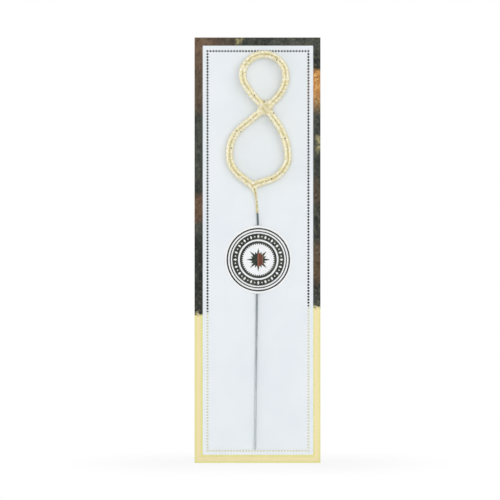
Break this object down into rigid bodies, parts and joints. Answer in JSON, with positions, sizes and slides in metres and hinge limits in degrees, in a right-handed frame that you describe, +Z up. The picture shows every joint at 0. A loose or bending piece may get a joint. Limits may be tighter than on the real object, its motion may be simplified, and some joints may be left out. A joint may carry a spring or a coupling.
{
  "type": "sparkler",
  "caption": "Figure-eight wire sparkler with a pale gold spark coating, held to a tall foil-bordered card by a round paper seal that peels open so the stem draws out.",
  "frame": {"origin": "middle of the card's back face", "axes": "+Z up the card along its length, +Y out of the card's back, -Y towards the viewer, +X to the viewer's right"},
  "size_m": [0.0554, 0.0074, 0.1872],
  "materials": {
    "board": "matte",
    "gold_foil": "gloss",
    "label_paper": "satin",
    "adhesive": "satin",
    "steel_wire": "satin",
    "spark_mixture": "matte",
    "iron": "matte"
  },
  "bodies": {
    "card": {"backing_card": "board", "foil_frame": "gold_foil", "foil_dots": "gold_foil"},
    "seal": {"seal_paper": "label_paper", "seal_adhesive": "adhesive", "seal_rim_line": "gold_foil", "seal_hairline": "gold_foil", "seal_band": "gold_foil", "seal_serrated_ring": "gold_foil", "seal_burst": "gold_foil"},
    "sparkler": {"core_wire": "steel_wire", "spark_coating": "spark_mixture", "iron_grains": "iron"}
  },
  "joints": [
    {"name": "sparkler_draw", "type": "slide", "parent": "card", "child": "sparkler", "axis": [0.0124, 0, 0.9999], "range_m": [0, 0.095]},
    {"name": "seal_peel", "type": "hinge", "parent": "card", "child": "seal", "pos_m": [-0.01467, -0.00071, -0.00415], "axis": [-0.0124, 0, -0.9999], "range_deg": [0, 150]}
  ]
}
